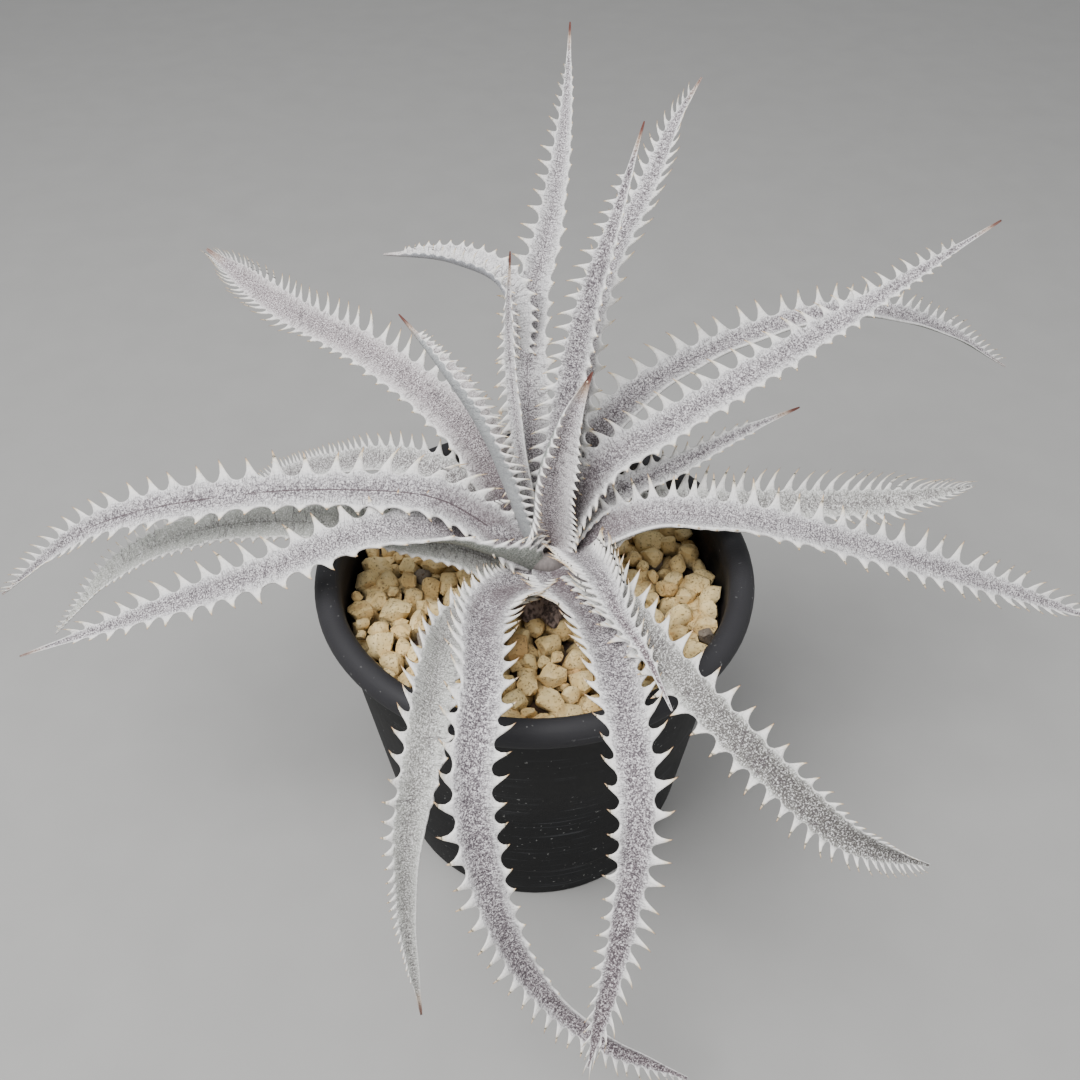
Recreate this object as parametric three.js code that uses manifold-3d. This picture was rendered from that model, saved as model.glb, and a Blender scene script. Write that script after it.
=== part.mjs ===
// Potted dyckia: a spiny silver rosette growing through a pumice top dressing in a round
// black nursery pot. Millimetres, +Z up. The origin is the middle of the pot's underside.
import * as THREE from 'three';
import Module from 'manifold-3d';
import { mergeVertices } from 'three/addons/utils/BufferGeometryUtils.js';

const wasm = await Module();
wasm.setup();

// Driving dimensions of the pot.
const POT_HEIGHT = 110.5;
const LIP_RADIUS = 65.2;
const LIP_WIDTH = 7.6;
const LIP_DROP = 8.6;
const LIP_ARC = [-0.96, 3.5];
const LIP_STEPS = 9;
const LIP_BLEND = 6;
const BASE_RADIUS = 46.2;
const FOOT_EDGE = 1;
const BODY_TOP_RADIUS = 60;
const BODY_TOP = POT_HEIGHT - LIP_DROP;
const WALL = 2.2;
const FOOT_STEP_HEIGHT = 18.5;
const FOOT_STEP = 0.6;
const DRAIN_HOLES = 6;
const DRAIN_RADIUS = 4;
const DRAIN_CIRCLE = 30;
const DRAIN_SIDES = 12;
const POT_SIDES = 36;

// What fills the pot, and the stem that stands in it.
const CLEARANCE = 0.3;
const MERGE_BELOW = 0.05;
const MIX_TOP = 92;
const DRESSING_TOP = 97;
const BED_DEPTH = 2.7;
const STONE_SIZE = 11.5;
const STONE_SIZES = [0.85, 1.15];
const STONE_LENGTHS = [0.85, 1.25];
const STONE_BREADTHS = [0.75, 1];
const STONE_DEPTHS = [0.6, 0.8];
const STONE_TILTS = [-0.5, 0.5];
const STONE_LIFTS = [-0.8, 0.8];
const STONE_SHIFTS = [-0.12, 0.12];
const STONE_SINK = 0.12;
const STONE_RING_GAP = 0.86;
const STONE_SEED = 11;
const STEM_FOOT = 80;
const STEM_RADIUS = 6.5;
const STEM_SIDES = 24;
const STEM_FLARE = 2;
const CROWN_CENTRE = [2, 0];
// Radius and height of the swollen crown that the leaves grow from, bottom to top.
const CROWN_PROFILE = [[8.5, 98], [11, 103], [11, 109], [9, 115], [5.5, 119]];
const CROWN_TOP = 120.5;

// Leaf blade and spine sizes shared by every leaf.
const EDGE_THICKNESS = 0.9;
const SWELL_ON_SLOPE = 1.25;
const MIDRIB_THICKNESS = 2.2;
const CHANNEL_AT_BASE = 0.42;
const CHANNEL_AT_TIP = 0.2;
const BASE_WIDTH_SHARE = 0.42;
const FULL_WIDTH_FROM = 0.24;
const TAPER_POWER = 0.8;
const SPINE_LENGTH = 4.6;
const SHORTEST_SPINE = 0.35;
const SPINE_TAPER = 2.2;
const SPINE_PITCH = 11;
const FIRST_SPINE_AT = 0.16;
const SPINE_LEAN_AT_BASE = -0.35;
const SPINE_LEAN_AT_TIP = 0.8;
const PITCH_SWING = 0.35;

// Every leaf, from the youngest and uppermost outwards: compass angle of its route from +X,
// blade width, roll about its own length at the base and at the tip in degrees, and its
// route as [reach, sideways, height].
const LEAVES = [
  { name: 'leaf_short_front_right', azimuth: -58, width: 14, roll: [0, -10],
    route: [[5, 0, 116], [31, -3, 129], [49, -6, 131], [60, -7, 130], [75, -9, 124]] },
  { name: 'leaf_young_right', azimuth: 60, width: 13, roll: [0, 0],
    route: [[3, 0, 117], [11, 0, 133], [19, 0, 146], [32, 0, 162]] },
  { name: 'leaf_young_left', azimuth: 140, width: 11, roll: [0, 0],
    route: [[3, 0, 116], [12, 2, 136], [17, 3, 148], [28, 5, 164], [48, 4, 177]] },
  { name: 'leaf_young_centre', azimuth: 105, width: 9, roll: [0, 0],
    route: [[3, 0, 117], [10, 4, 148], [19, 4, 177], [24, 2, 199]] },
  { name: 'leaf_young_upper_right', azimuth: 22, width: 14, roll: [-20, -34],
    route: [[4, 0, 116], [18, 0, 127], [43, 0, 133], [63, 0, 139], [83, 0, 143]] },
  { name: 'leaf_curled_back', azimuth: 120, width: 11, roll: [0, 10],
    route: [[5, 0, 113], [24, -3, 152], [36, -8, 180], [48, -1, 185], [64, 15, 184]] },
  { name: 'leaf_left_upper', azimuth: 181, width: 16, roll: [24, 32],
    route: [[5, 0, 113], [28, 0, 138], [57, 0, 138], [89, 0, 136], [127, 0, 126], [165, -3, 95]] },
  { name: 'leaf_upper_right_rising', azimuth: 25, width: 16, roll: [-14, -24],
    route: [[5, 0, 113], [18, 0, 138], [38, 0, 146], [67, 0, 157], [106, 0, 171], [148, 0, 187]] },
  { name: 'leaf_back_right_inner', azimuth: 57, width: 15, roll: [0, 0],
    route: [[5, 0, 113], [14, 0, 162], [23, -1.5, 192], [31, -2.2, 206], [48, 0, 226]] },
  { name: 'leaf_back_tall', azimuth: 90, width: 15, roll: [0, 0],
    route: [[6, 0, 110], [23, 4, 158], [43, 3, 172], [62, -2, 184], [91, -7.2, 207],
      [110.5, -8.6, 226.5]] },
  { name: 'leaf_right_lower', azimuth: -2, width: 16.5, roll: [-24, -32],
    route: [[6, 0, 110], [28, 0, 127], [56, 0, 128], [88, 0, 120], [122, 2, 107], [178, 6, 82]] },
  { name: 'leaf_lower_right', azimuth: -52, width: 17, roll: [-16, -38],
    route: [[6, 0, 110], [42, -4, 124], [68, -9, 126], [97, -9, 122], [119, -2, 111], [133, 16, 98]] },
  { name: 'leaf_front_right', azimuth: -77, width: 17, roll: [0, -16],
    route: [[6, 0, 108], [34, 7, 118], [63, 6, 122], [88, 3.2, 116], [99, 0, 102], [109, -5.6, 83],
      [118, -12, 66], [124, -16.6, 52]] },
  { name: 'leaf_front', azimuth: -103, width: 17, roll: [0, 30],
    route: [[6, 0, 108], [34, -7, 122], [67, 0, 129], [88, 3, 118], [100, 10, 93], [105, 22, 63],
      [106, 40, 41], [103, 65, 22]] },
  { name: 'leaf_left_lower', azimuth: 192, width: 16, roll: [22, 30],
    route: [[6, 0, 108], [29, 0, 127], [50, 0, 130], [80, -1, 120], [111, -6, 107], [155, -11, 91]] },
  { name: 'leaf_back_left_long', azimuth: 138, width: 18, roll: [20, 34],
    route: [[6, 0, 110], [26, 0, 140], [40, 0, 147], [71, 0, 152], [112, 0, 151], [150, 0, 157]] },
  { name: 'leaf_upper_right_drooping', azimuth: 42, width: 16, roll: [-10, -18],
    route: [[6, 0, 108], [28, 5, 140], [51, 4, 149], [82, -4, 155], [108, -20, 160], [138, -34, 148],
      [166, -48, 127]] },
  { name: 'leaf_back_right_outer', azimuth: 61, width: 15, roll: [0, 0],
    route: [[6, 0, 106], [21, 0, 150], [36, 0, 186], [61, 0, 202], [78, 1.5, 211], [96, 0.8, 220]] },
  { name: 'leaf_right_upper', azimuth: 17, width: 17, roll: [-20, -40],
    route: [[6, 0, 106], [33, -1, 122], [56, -2.5, 119], [83, -2.6, 113], [114, -5.4, 108.4],
      [141, -8, 110]] },
  { name: 'leaf_back_left_arch', azimuth: 151, width: 14, roll: [0, -10],
    route: [[6, 0, 105], [29, 0, 129], [51, 0, 128], [73, 0, 118], [101, 2, 101], [118, 6, 86]] },
  { name: 'leaf_left_middle', azimuth: 177, width: 16, roll: [16, 26],
    route: [[6, 0, 104], [29, 0, 122], [59, 0, 124], [93, 2, 121], [123, 6, 109], [150, 13, 83]] },
  { name: 'leaf_front_left', azimuth: -118, width: 15, roll: [0, 26],
    route: [[6, 0, 104], [38, -6, 114], [60, 1, 120], [80, 10, 120], [94, 13, 105], [103, 16, 78],
      [111, 23, 47]] },
];

// Finishes.
const SILVER_LEAF = { color: 0xb9b6b2, roughness: 0.8, metalness: 0 };
const BLACK_PLASTIC = { color: 0x26272a, roughness: 0.62, metalness: 0 };
const PUMICE = { color: 0xc3a982, roughness: 0.95, metalness: 0 };
const DARK_MIX = { color: 0x3a2c22, roughness: 1, metalness: 0 };
const LEAF_BASE_TISSUE = { color: 0xa9a79a, roughness: 0.85, metalness: 0 };

const mix = (from, to, share) => from + (to - from) * share;
const within = ([low, high], random) => mix(low, high, random());

// ---- Solids and meshes ----

// One closed mesh as a manifold solid: shared corners merged, faces without area dropped.
function solidOf(geometry) {
  const bare = geometry.clone();
  bare.deleteAttribute('normal');
  bare.deleteAttribute('uv');
  const merged = mergeVertices(bare, 1e-4);
  const triangles = [];
  for (let i = 0; i < merged.index.count; i += 3) {
    const corners = [0, 1, 2].map((k) => merged.index.getX(i + k));
    if (new Set(corners).size === 3) triangles.push(...corners);
  }
  const vertProperties = Float32Array.from(merged.attributes.position.array);
  const mesh = new wasm.Mesh({ numProp: 3, vertProperties, triVerts: Uint32Array.from(triangles) });
  return new wasm.Manifold(mesh);
}

function geometryOf(solid) {
  const mesh = solid.getMesh();
  const geometry = new THREE.BufferGeometry();
  geometry.setAttribute('position', new THREE.BufferAttribute(Float32Array.from(mesh.vertProperties), 3));
  geometry.setIndex(Array.from(mesh.triVerts));
  geometry.computeVertexNormals();
  return geometry;
}

function largestBody(solid) {
  const bodies = solid.decompose();
  return bodies.reduce((best, body) => (body.volume() > best.volume() ? body : best));
}

function namedMesh(name, geometry, finish) {
  const mesh = new THREE.Mesh(geometry, new THREE.MeshStandardMaterial(finish));
  mesh.name = name;
  return mesh;
}

// A turned body from [radius, height] pairs that start and end on the axis, outside first.
function turned(profile, sides, centre = [0, 0]) {
  const points = profile.map(([radius, height]) => new THREE.Vector2(radius, height));
  const geometry = new THREE.LatheGeometry(points, sides);
  geometry.rotateX(Math.PI / 2);
  geometry.translate(centre[0], centre[1], 0);
  return geometry;
}

// A small repeatable random source, so that every build gives the same stones.
function seededRandom(seed) {
  let state = seed;
  return () => {
    state = (state * 16807) % 2147483647;
    return state / 2147483647;
  };
}

// ---- Pot ----

function outerRadius(height) {
  const step = height > FOOT_STEP_HEIGHT ? FOOT_STEP : 0;
  return mix(BASE_RADIUS, BODY_TOP_RADIUS - FOOT_STEP, height / BODY_TOP) + step;
}

function innerRadius(height) {
  return outerRadius(height) - WALL;
}

// The rolled lip, from under its outer edge over the top to inside the pot.
function lipProfile() {
  const points = [];
  for (let i = 0; i <= LIP_STEPS; i += 1) {
    const angle = mix(...LIP_ARC, i / LIP_STEPS);
    const radius = LIP_RADIUS - (LIP_WIDTH / 2) * (1 - Math.cos(angle));
    points.push([radius, POT_HEIGHT - (LIP_DROP / 2) * (1 - Math.sin(angle))]);
  }
  return points;
}

function potProfile() {
  return [
    [0, 0],
    [BASE_RADIUS - FOOT_EDGE, 0],
    [BASE_RADIUS, FOOT_EDGE],
    [outerRadius(FOOT_STEP_HEIGHT), FOOT_STEP_HEIGHT],
    [outerRadius(FOOT_STEP_HEIGHT + FOOT_STEP), FOOT_STEP_HEIGHT + FOOT_STEP],
    [outerRadius(BODY_TOP), BODY_TOP],
    ...lipProfile(),
    [innerRadius(BODY_TOP - LIP_BLEND), BODY_TOP - LIP_BLEND],
    [innerRadius(FOOT_STEP_HEIGHT), FOOT_STEP_HEIGHT],
    [innerRadius(WALL) - FOOT_EDGE, WALL],
    [0, WALL],
  ];
}

function pot() {
  let body = solidOf(turned(potProfile(), POT_SIDES));
  for (let i = 0; i < DRAIN_HOLES; i += 1) {
    const angle = (i / DRAIN_HOLES) * 2 * Math.PI;
    const hole = new THREE.CylinderGeometry(DRAIN_RADIUS, DRAIN_RADIUS, 4 * WALL, DRAIN_SIDES);
    hole.rotateX(Math.PI / 2);
    hole.translate(DRAIN_CIRCLE * Math.cos(angle), DRAIN_CIRCLE * Math.sin(angle), 0);
    body = body.subtract(solidOf(hole));
  }
  return geometryOf(body);
}

// ---- Potting mix, pumice and stem ----

function pottingMix() {
  const foot = WALL + CLEARANCE;
  const body = solidOf(turned([
    [0, foot],
    [innerRadius(WALL) - FOOT_EDGE - CLEARANCE, foot],
    [innerRadius(FOOT_STEP_HEIGHT) - CLEARANCE, FOOT_STEP_HEIGHT],
    [innerRadius(MIX_TOP) - CLEARANCE, MIX_TOP],
    [0, MIX_TOP],
  ], POT_SIDES));
  return geometryOf(body.subtract(stemHole()));
}

function stemProfile(grown) {
  const crown = CROWN_PROFILE.map(([radius, height]) => [radius + grown, height]);
  return [
    [0, STEM_FOOT - grown],
    [STEM_RADIUS + grown, STEM_FOOT - grown],
    [STEM_RADIUS + grown, CROWN_PROFILE[0][1] - STEM_FLARE],
    ...crown,
    [0, CROWN_TOP + grown],
  ];
}

function stem() {
  return turned(stemProfile(0), STEM_SIDES, CROWN_CENTRE);
}

function stemHole() {
  return solidOf(turned(stemProfile(CLEARANCE), STEM_SIDES, CROWN_CENTRE));
}

// One rough stone: a squashed, randomly turned twenty-sided lump.
function stone(random, x, y) {
  const size = STONE_SIZE * within(STONE_SIZES, random);
  const geometry = new THREE.IcosahedronGeometry(size / 2, 0);
  geometry.scale(
    within(STONE_LENGTHS, random),
    within(STONE_BREADTHS, random),
    within(STONE_DEPTHS, random),
  );
  geometry.rotateX(within(STONE_TILTS, random));
  geometry.rotateZ(random() * 2 * Math.PI);
  geometry.translate(x, y, DRESSING_TOP - STONE_SINK * size + within(STONE_LIFTS, random));
  return solidOf(geometry);
}

// Stones set ring by ring, so that they cover the whole top of the pot.
function stoneRings(edge) {
  const random = seededRandom(STONE_SEED);
  const stones = [];
  for (let ring = edge - STONE_SIZE / 2; ring > STONE_SIZE; ring -= STONE_SIZE * STONE_RING_GAP) {
    const count = Math.floor((2 * Math.PI * ring) / STONE_SIZE);
    const start = random();
    for (let i = 0; i < count; i += 1) {
      const angle = ((i + start + within(STONE_SHIFTS, random)) / count) * 2 * Math.PI;
      stones.push(stone(random, ring * Math.cos(angle), ring * Math.sin(angle)));
    }
  }
  return stones;
}

// The stones and the bed that joins them, cut to the room inside the pot.
function pumiceDressing() {
  const floor = MIX_TOP + CLEARANCE;
  const edge = innerRadius(floor) - CLEARANCE;
  const ledge = BODY_TOP - LIP_BLEND;
  const rim = innerRadius(ledge) - CLEARANCE;
  const bed = [[0, floor], [edge, floor], [edge, floor + BED_DEPTH], [0, floor + BED_DEPTH]];
  const room = [[0, floor], [edge, floor], [rim, ledge], [rim, POT_HEIGHT], [0, POT_HEIGHT]];
  const heap = stoneRings(edge).reduce((all, lump) => all.add(lump), solidOf(turned(bed, POT_SIDES)));
  const fitted = heap.intersect(solidOf(turned(room, POT_SIDES))).subtract(stemHole());
  return geometryOf(largestBody(fitted).simplify(MERGE_BELOW));
}

// ---- Leaves ----

function routeCurve(leaf) {
  const angle = THREE.MathUtils.degToRad(leaf.azimuth);
  const [cos, sin] = [Math.cos(angle), Math.sin(angle)];
  const points = leaf.route.map(([reach, sideways, height]) => new THREE.Vector3(
    CROWN_CENTRE[0] + reach * cos - sideways * sin,
    CROWN_CENTRE[1] + reach * sin + sideways * cos,
    height,
  ));
  return new THREE.CatmullRomCurve3(points, false, 'centripetal');
}

// Blade half width along the leaf: narrow where it leaves the crown, then a long taper.
function halfWidth(leaf, t) {
  const opening = Math.min(t / FULL_WIDTH_FROM, 1);
  const swell = mix(BASE_WIDTH_SHARE, 1, Math.sin((opening * Math.PI) / 2));
  return 0.5 * leaf.width * swell * (1 - t) ** TAPER_POWER;
}

// Stations lie closer together at the base and at the tip, as the spines do.
function stationAt(index, count) {
  const x = index / count;
  return x - (PITCH_SWING * Math.sin(2 * Math.PI * x)) / (2 * Math.PI);
}

// Points and axes along the leaf: side points to its right edge, up out of its upper face.
function leafFrames(leaf, count) {
  const curve = routeCurve(leaf);
  const frames = [];
  let side = curve.getTangentAt(0).cross(new THREE.Vector3(0, 0, 1)).normalize();
  for (let i = 0; i < count; i += 1) {
    const t = stationAt(i, count);
    const along = curve.getTangentAt(t);
    side = side.clone().addScaledVector(along, -side.dot(along)).normalize();
    const roll = THREE.MathUtils.degToRad(mix(leaf.roll[0], leaf.roll[1], t));
    const rolledSide = side.clone().applyAxisAngle(along, -roll);
    const up = rolledSide.clone().cross(along);
    frames.push({ t, along, side: rolledSide, up, point: curve.getPointAt(t) });
  }
  return frames;
}

// Six corners round the channelled blade: left edge, middle and right edge on the upper
// face, then right edge, middle and left edge on the lower face. It is swollen by grown.
function bladeCorners(leaf, frame, grown) {
  const half = halfWidth(leaf, frame.t) + grown;
  const rise = half * mix(CHANNEL_AT_BASE, CHANNEL_AT_TIP, frame.t);
  const middle = mix(MIDRIB_THICKNESS, EDGE_THICKNESS, frame.t);
  const over = SWELL_ON_SLOPE * grown;
  const corner = (across, height) => frame.point.clone()
    .addScaledVector(frame.side, across)
    .addScaledVector(frame.up, height);
  return [
    corner(-half, rise + over), corner(0, over), corner(half, rise + over),
    corner(half, rise - EDGE_THICKNESS - over), corner(0, -middle - over),
    corner(-half, rise - EDGE_THICKNESS - over),
  ];
}

// The point of a spine that stands on the margin between two stations.
function spineTip(leaf, before, after, across, grown) {
  const t = (before.t + after.t) / 2;
  const half = halfWidth(leaf, t);
  const channel = mix(CHANNEL_AT_BASE, CHANNEL_AT_TIP, t);
  const length = SPINE_LENGTH * Math.min(1, SPINE_TAPER * (1 - t) + SHORTEST_SPINE) + 2 * grown;
  const outward = half + length / Math.hypot(1, channel);
  return before.point.clone().lerp(after.point, 0.5)
    .addScaledVector(before.side, across * outward)
    .addScaledVector(before.up, outward * channel - EDGE_THICKNESS / 2)
    .addScaledVector(before.along, length * mix(SPINE_LEAN_AT_BASE, SPINE_LEAN_AT_TIP, t));
}

function leafBlade(leaf, grown) {
  const count = 2 * Math.round(routeCurve(leaf).getLength() / SPINE_PITCH);
  const frames = leafFrames(leaf, count);
  const corners = frames.flatMap((frame) => bladeCorners(leaf, frame, grown));
  const faces = [[5, 4, 1], [5, 1, 0], [4, 3, 2], [4, 2, 1]];
  const quad = (a, b, c, d) => faces.push([a, b, c], [a, c, d]);
  const spine = (base, tip) => {
    corners.push(tip);
    base.forEach((from, k) => faces.push([from, base[(k + 1) % 4], corners.length - 1]));
  };
  for (let i = 0; i + 1 < count; i += 1) {
    for (let k = 0; k < 6; k += 1) {
      const next = (k + 1) % 6;
      const base = [6 * i + k, 6 * i + next, 6 * (i + 1) + next, 6 * (i + 1) + k];
      const across = k === 2 ? 1 : -1;
      const edge = (k === 2 && i % 2 === 0) || (k === 5 && i % 2 === 1);
      if (edge && frames[i].t > FIRST_SPINE_AT) {
        spine(base, spineTip(leaf, frames[i], frames[i + 1], across, grown));
      } else {
        quad(...base);
      }
    }
  }
  corners.push(routeCurve(leaf).getPointAt(1));
  for (let k = 0; k < 6; k += 1) {
    faces.push([6 * (count - 1) + k, 6 * (count - 1) + ((k + 1) % 6), corners.length - 1]);
  }
  const geometry = new THREE.BufferGeometry();
  geometry.setFromPoints(corners);
  geometry.setIndex(faces.flat());
  return geometry;
}

// Each leaf gives way to the younger leaves above it, which keep a small gap all round.
function rosette() {
  const younger = [stemHole()];
  return LEAVES.map((leaf) => {
    const whole = solidOf(leafBlade(leaf, 0));
    const free = younger.reduce((rest, body) => rest.subtract(body), whole);
    younger.push(solidOf(leafBlade(leaf, CLEARANCE)));
    return namedMesh(leaf.name, geometryOf(largestBody(free.simplify(MERGE_BELOW))), SILVER_LEAF);
  });
}

// ---- Assembly ----

const group = new THREE.Group();
group.add(namedMesh('pot', pot(), BLACK_PLASTIC));
group.add(namedMesh('potting_mix', pottingMix(), DARK_MIX));
group.add(namedMesh('pumice_dressing', pumiceDressing(), PUMICE));
group.add(namedMesh('stem_crown', stem(), LEAF_BASE_TISSUE));
group.add(...rosette());

export default group;
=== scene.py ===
# %% [markdown]
# # A potted dyckia
#
# A dyckia is a ground-living bromeliad: a rosette of stiff, arching leaves that end in fine points
# and carry hooked spines along both margins. This silver one grows in a black nursery pot under a
# dressing of cream pumice. The lesson starts from a plain frame of solids that says where
# everything is and how big it is, and gives each solid the surface of the real plant, stone and
# plastic.

# %% The frame
import math
import random
from bisect import bisect_right
from types import SimpleNamespace

import bmesh
import bpy
from mathutils import Euler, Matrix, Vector, noise


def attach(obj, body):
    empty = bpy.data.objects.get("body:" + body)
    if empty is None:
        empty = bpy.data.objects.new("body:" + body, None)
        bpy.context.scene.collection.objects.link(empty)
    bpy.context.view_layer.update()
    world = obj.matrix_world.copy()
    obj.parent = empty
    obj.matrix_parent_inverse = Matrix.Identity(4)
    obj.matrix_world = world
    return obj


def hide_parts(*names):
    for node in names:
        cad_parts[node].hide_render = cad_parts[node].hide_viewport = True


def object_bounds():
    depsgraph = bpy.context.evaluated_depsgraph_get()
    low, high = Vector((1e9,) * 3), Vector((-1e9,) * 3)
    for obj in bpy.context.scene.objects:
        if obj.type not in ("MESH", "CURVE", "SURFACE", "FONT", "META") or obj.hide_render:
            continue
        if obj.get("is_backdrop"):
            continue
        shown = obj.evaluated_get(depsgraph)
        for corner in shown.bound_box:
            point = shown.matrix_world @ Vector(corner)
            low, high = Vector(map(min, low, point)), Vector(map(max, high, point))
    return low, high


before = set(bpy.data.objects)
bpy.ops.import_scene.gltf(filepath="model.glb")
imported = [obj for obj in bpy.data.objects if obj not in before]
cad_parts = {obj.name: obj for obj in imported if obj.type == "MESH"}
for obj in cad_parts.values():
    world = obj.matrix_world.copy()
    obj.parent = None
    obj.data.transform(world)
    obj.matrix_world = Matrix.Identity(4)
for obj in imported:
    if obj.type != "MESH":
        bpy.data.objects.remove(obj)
frame_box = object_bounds()
print("solids in the frame:", len(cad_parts))

# %% [markdown]
# ## Writing shader sums as Python
#
# A finish is a small program made of shader nodes. Linking dozens of Math nodes by hand hides the
# idea, so one small class wraps a node's output and lets ordinary operators add the nodes: with it,
# `1 - mask` reads as what it does. A second class holds one material and adds any other node, and
# its coats lay colour over colour, as a painter would.


# %% Values and paints
def math_node(operation, reflected=False):
    """Makes an operator of a Value, which adds one Math node."""

    def operator(self, other):
        pair = (other, self) if reflected else (self, other)
        return self.paint.node("Math", {"operation": operation}, dict(enumerate(pair)))

    return operator


class Value:
    """An output of a shader node, on which sums are written as Python expressions."""

    def __init__(self, paint, socket):
        self.paint = paint
        self.socket = socket

    __add__ = math_node("ADD")
    __radd__ = math_node("ADD", reflected=True)
    __sub__ = math_node("SUBTRACT")
    __rsub__ = math_node("SUBTRACT", reflected=True)
    __mul__ = math_node("MULTIPLY")
    __rmul__ = math_node("MULTIPLY", reflected=True)

    def __abs__(self):
        return self.paint.node("Math", {"operation": "ABSOLUTE"}, {0: self})


class Paint:
    """One material, with the nodes that colour it."""

    def __init__(self, name):
        self.material = bpy.data.materials.new(name)
        self.material.use_nodes = True
        self.tree = self.material.node_tree
        self.shader = self.tree.nodes["Principled BSDF"]

    def plug(self, node, sockets):
        for key, value in sockets.items():
            if isinstance(value, Value):
                self.tree.links.new(value.socket, node.inputs[key])
            else:
                node.inputs[key].default_value = value

    def node(self, kind, settings=None, sockets=None, out=0):
        """Adds a node: first its settings, then the values or links of its sockets."""
        new = self.tree.nodes.new("ShaderNode" + kind)
        for name, value in (settings or {}).items():
            setattr(new, name, value)
        self.plug(new, sockets or {})
        return Value(self, new.outputs[out])

    def attribute(self, name, out=2):
        return self.node("Attribute", {"attribute_name": name}, out=out)

    def place(self):
        return self.node("TexCoord", out=3)

    def height(self, place):
        return self.node("SeparateXYZ", {}, {0: place}, out=2)

    def stretched(self, vector, scale):
        return self.node("Mapping", {}, {"Vector": vector, "Scale": scale})

    def noise(self, vector, scale, detail=3.0, roughness=0.5):
        sockets = {"Vector": vector, "Scale": scale, "Detail": detail, "Roughness": roughness}
        return self.node("TexNoise", {}, sockets)

    def ramp(self, value, low, high):
        """0 below low, 1 above high and a smooth rise between them."""
        sockets = {"Value": value, "From Min": low, "From Max": high}
        return self.node("MapRange", {"interpolation_type": "SMOOTHSTEP"}, sockets)

    def mix(self, share, first, second):
        """Blends two colours."""
        return self.node("Mix", {"data_type": "RGBA"}, {0: share, 6: first, 7: second}, out=2)

    def coats(self, base, *coats):
        """Lays more colours over a first one, each by its own share."""
        for share, coat in coats:
            base = self.mix(share, base, coat)
        return base

    def bump(self, height, strength, distance):
        sockets = {"Height": height, "Strength": strength, "Distance": distance}
        return self.node("Bump", {}, sockets)

    def finish(self, **sockets):
        """Plugs the shader's own sockets; Base_Color stands for Base Color."""
        named = {key.replace("_", " "): value for key, value in sockets.items()}
        self.plug(self.shader, named)
        return self.material


def colour(red, green, blue):
    """A colour picked on a screen, in 0 to 255, as the linear light a shader works in."""
    steps = [c / 255 for c in (red, green, blue)]
    light = [c / 12.92 if c <= 0.04045 else ((c + 0.055) / 1.055) ** 2.4 for c in steps]
    return (*light, 1.0)


print("a mid grey of 128 is", round(colour(128, 128, 128)[0], 3), "in linear light")

# %% [markdown]
# ## The camera
#
# The plant is seen from in front and above, from about arm's length, with the whole rosette just
# filling a square picture. The camera comes first, so that every piece can be judged through it.

# %% Camera
MM = 0.001
CAMERA_PLACE = (1.6 * MM, -246 * MM, 347 * MM)
CAMERA_DIP = 42.96
FOCAL_SHARE = 1.065
SENSOR = 36.0

camera_data = bpy.data.cameras.new("camera")
camera_data.sensor_width = SENSOR
camera_data.lens = SENSOR * FOCAL_SHARE
camera_data.clip_start = 0.01
camera = bpy.data.objects.new("camera", camera_data)
camera.location = CAMERA_PLACE
camera.rotation_euler = (math.radians(90 - CAMERA_DIP), 0, 0)
bpy.context.scene.collection.objects.link(camera)
bpy.context.scene.camera = camera
print("lens:", round(camera_data.lens, 1), "mm")

# %% [markdown]
# ## Finishing a piece
#
# Every piece ends the same way: its faces are turned outwards, it becomes a smooth-shaded mesh
# object whose place is in its vertices, it gets its finish, it is hung under the root body, and the
# frame's solid that it stands for is hidden. Curved pieces get a Subdivision Surface modifier as well.


# %% Finishing
def mesh_object(name, bm):
    """Puts a bmesh into the scene as a mesh object."""
    mesh = bpy.data.meshes.new(name)
    bm.to_mesh(mesh)
    bm.free()
    made = bpy.data.objects.new(name, mesh)
    bpy.context.scene.collection.objects.link(made)
    return made


def finished(name, bm, material, node, smooth_levels=0):
    bmesh.ops.recalc_face_normals(bm, faces=bm.faces[:])
    piece = mesh_object(name, bm)
    piece.data.shade_smooth()
    piece.data.materials.append(material)
    if smooth_levels:
        smooth = piece.modifiers.new("smooth", "SUBSURF")
        smooth.levels = smooth_levels
        smooth.render_levels = smooth_levels
    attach(piece, "root")
    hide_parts(node)
    return piece


def mixed(first, second, share):
    return first + (second - first) * share


# %% [markdown]
# ## Black nursery pot
#
# A nursery pot is injection moulded: a tapered wall, a low step ring near the foot and a fat
# rolled lip that stiffens the rim. All of it is round, so half of its section is drawn once and
# spun through a full turn. The drain holes are cut through the floor afterwards with a Boolean,
# because a spun floor has no holes of its own.

# %% Pot measures
POT_HEIGHT = 110.5 * MM
LIP_RADIUS = 65.2 * MM
LIP_WIDTH = 7.6 * MM
LIP_DROP = 8.6 * MM
BASE_RADIUS = 46.2 * MM
BODY_TOP_RADIUS = 60 * MM
BODY_TOP = POT_HEIGHT - LIP_DROP
WALL = 2.2 * MM
STEP_HEIGHT = 18.5 * MM
STEP = 0.6 * MM
EDGE = 0.4 * MM
ROUND = 1.2 * MM
DRAIN_HOLES = 6
DRAIN_SIDES = 24
DRAIN_RADIUS = 4 * MM
DRAIN_CIRCLE = 30 * MM
SPIN_STEPS = 96
POLE_MERGE = 0.02 * MM
LIP_ARC = (-55, 200)
LIP_STEPS = 12


def wall_radius(height):
    step = STEP if height > STEP_HEIGHT else 0
    return mixed(BASE_RADIUS, BODY_TOP_RADIUS - STEP, height / BODY_TOP) + step


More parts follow.
